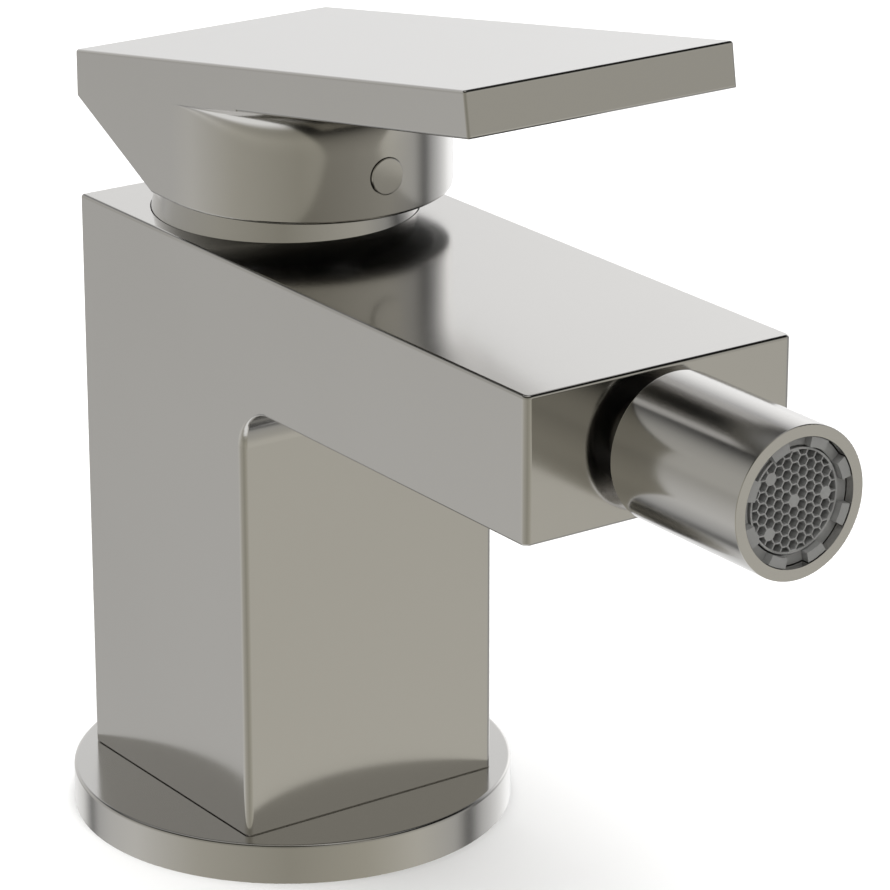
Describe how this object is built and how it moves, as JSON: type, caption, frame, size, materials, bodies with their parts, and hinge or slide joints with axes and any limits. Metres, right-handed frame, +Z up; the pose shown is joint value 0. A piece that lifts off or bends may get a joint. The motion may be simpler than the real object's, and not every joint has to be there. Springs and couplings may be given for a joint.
{
  "type": "bidet mixer tap",
  "caption": "Single-lever bidet mixer: square column on a round base ring, flat projecting spout with a swivelling round nozzle, and a wide flat lever over a ceramic-disc cartridge.",
  "frame": {"origin": "axis of the fixing stud's thread in the deck plane, at the middle of the base ring's underside", "axes": "+Z up along the column, -Y along the spout towards the user, X across"},
  "size_m": [0.06, 0.1363, 0.1181],
  "materials": {
    "nickel": "polished",
    "brass": "satin",
    "steel": "satin",
    "ceramic": "polished",
    "rubber": "matte",
    "housing_plastic": "satin",
    "seat_plastic": "satin",
    "aerator_plastic": "satin"
  },
  "bodies": {
    "mixer_body": {"base_ring": "nickel", "base_seal": "rubber", "body": "nickel", "cartridge_base": "housing_plastic", "inlet_seals": "rubber", "disc_gasket": "rubber", "fixed_disc": "ceramic", "cartridge_housing": "housing_plastic", "cartridge_o_ring": "rubber", "cartridge_nut": "brass", "cartridge_cap": "nickel", "ball_fitting": "nickel", "fitting_o_ring": "rubber"},
    "rotor": {"cartridge_rotor": "housing_plastic", "pivot_pin": "steel"},
    "handle": {"lever": "nickel", "stem": "steel", "lever_screw": "steel", "index_plug": "nickel"},
    "disc": {"disc_carriage": "housing_plastic", "moving_disc": "ceramic"},
    "swivel": {"ball_seal": "seat_plastic"},
    "tilt": {"ball_seat": "seat_plastic"},
    "nozzle": {"nozzle_sleeve": "nickel", "aerator_seal": "rubber", "aerator_housing": "aerator_plastic", "aerator_comb": "aerator_plastic", "jet_plate": "aerator_plastic", "inlet_screen": "aerator_plastic"}
  },
  "joints": [
    {"name": "temperature_turn", "type": "hinge", "parent": "mixer_body", "child": "rotor", "pos_m": [0, 0, 0.0892], "axis": [0, 0, 1], "range_deg": [-45, 45]},
    {"name": "lever_lift", "type": "hinge", "parent": "rotor", "child": "handle", "pos_m": [0, 0, 0.0892], "axis": [-1, 0, 0], "range_deg": [0, 22]},
    {"name": "disc_slide", "type": "slide", "parent": "rotor", "child": "disc", "axis": [0, -1, 0], "range_m": [0, 0.00458]},
    {"name": "nozzle_swivel", "type": "hinge", "parent": "mixer_body", "child": "swivel", "pos_m": [0, -0.0884, 0.0751], "axis": [0, 0, 1], "range_deg": [-10, 10]},
    {"name": "nozzle_tilt", "type": "hinge", "parent": "swivel", "child": "tilt", "pos_m": [0, -0.0884, 0.0751], "axis": [-1, 0, 0], "range_deg": [-10, 10]},
    {"name": "nozzle_spin", "type": "hinge", "parent": "tilt", "child": "nozzle", "pos_m": [0, -0.0884, 0.0751], "axis": [0, -1, 0], "continuous": true}
  ],
  "couplings": [
    {"joint": "disc_slide", "follows": "lever_lift", "m_per_rad": 0.011926}
  ]
}
